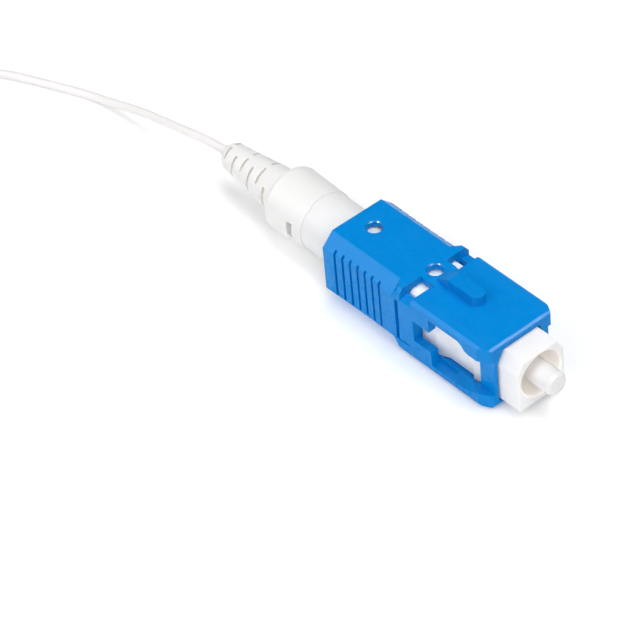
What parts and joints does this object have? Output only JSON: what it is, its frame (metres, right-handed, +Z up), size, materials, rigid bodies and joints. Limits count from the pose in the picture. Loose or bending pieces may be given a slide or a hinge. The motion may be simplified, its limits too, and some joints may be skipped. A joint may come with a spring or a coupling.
{
  "type": "fibre optic connector",
  "caption": "Push-pull square fibre plug with a sliding keyed housing, a sprung ceramic ferrule, a bend boot and a length of thin buffered fibre ending in a tied coil.",
  "frame": {"origin": "on the surface the plug lies on, under the middle of the plug's length from the boot's end to the ferrule's tip", "axes": "+X is the mating direction, +Z is up with the key on top, +Y is the plug's left side"},
  "size_m": [0.1062, 0.0174, 0.0088],
  "materials": {
    "housing_blue": "satin moulded plastic",
    "frame_white": "smooth moulded plastic",
    "zirconia": "ground ceramic",
    "nickel": "nickel plated",
    "spring_steel": "drawn wire",
    "silica": "polished",
    "body_white": "moulded plastic",
    "boot_white": "matte flexible moulding",
    "buffer_white": "extruded jacket",
    "cord_white": "extruded jacket",
    "tie_grey": "thin flat strip"
  },
  "bodies": {
    "core": {"plug_frame": "frame_white", "rear_body": "body_white", "boot": "boot_white", "inner_buffer": "buffer_white", "spring": "spring_steel", "fibre_cord": "cord_white", "cord_coil": "cord_white", "coil_tie": "tie_grey"},
    "shell": {"outer_housing": "housing_blue"},
    "ferrule_set": {"ferrule": "zirconia", "ferrule_flange": "nickel", "glass_fibre": "silica"}
  },
  "joints": [
    {"name": "housing_slide", "type": "slide", "parent": "core", "child": "shell", "axis": [1, 0, 0], "range_m": [-0.0012, 0.0011]},
    {"name": "ferrule_float", "type": "slide", "parent": "core", "child": "ferrule_set", "axis": [1, 0, 0], "range_m": [-0.001, 0], "stiffness_N_per_m": 1500, "deforming": ["spring"]}
  ]
}
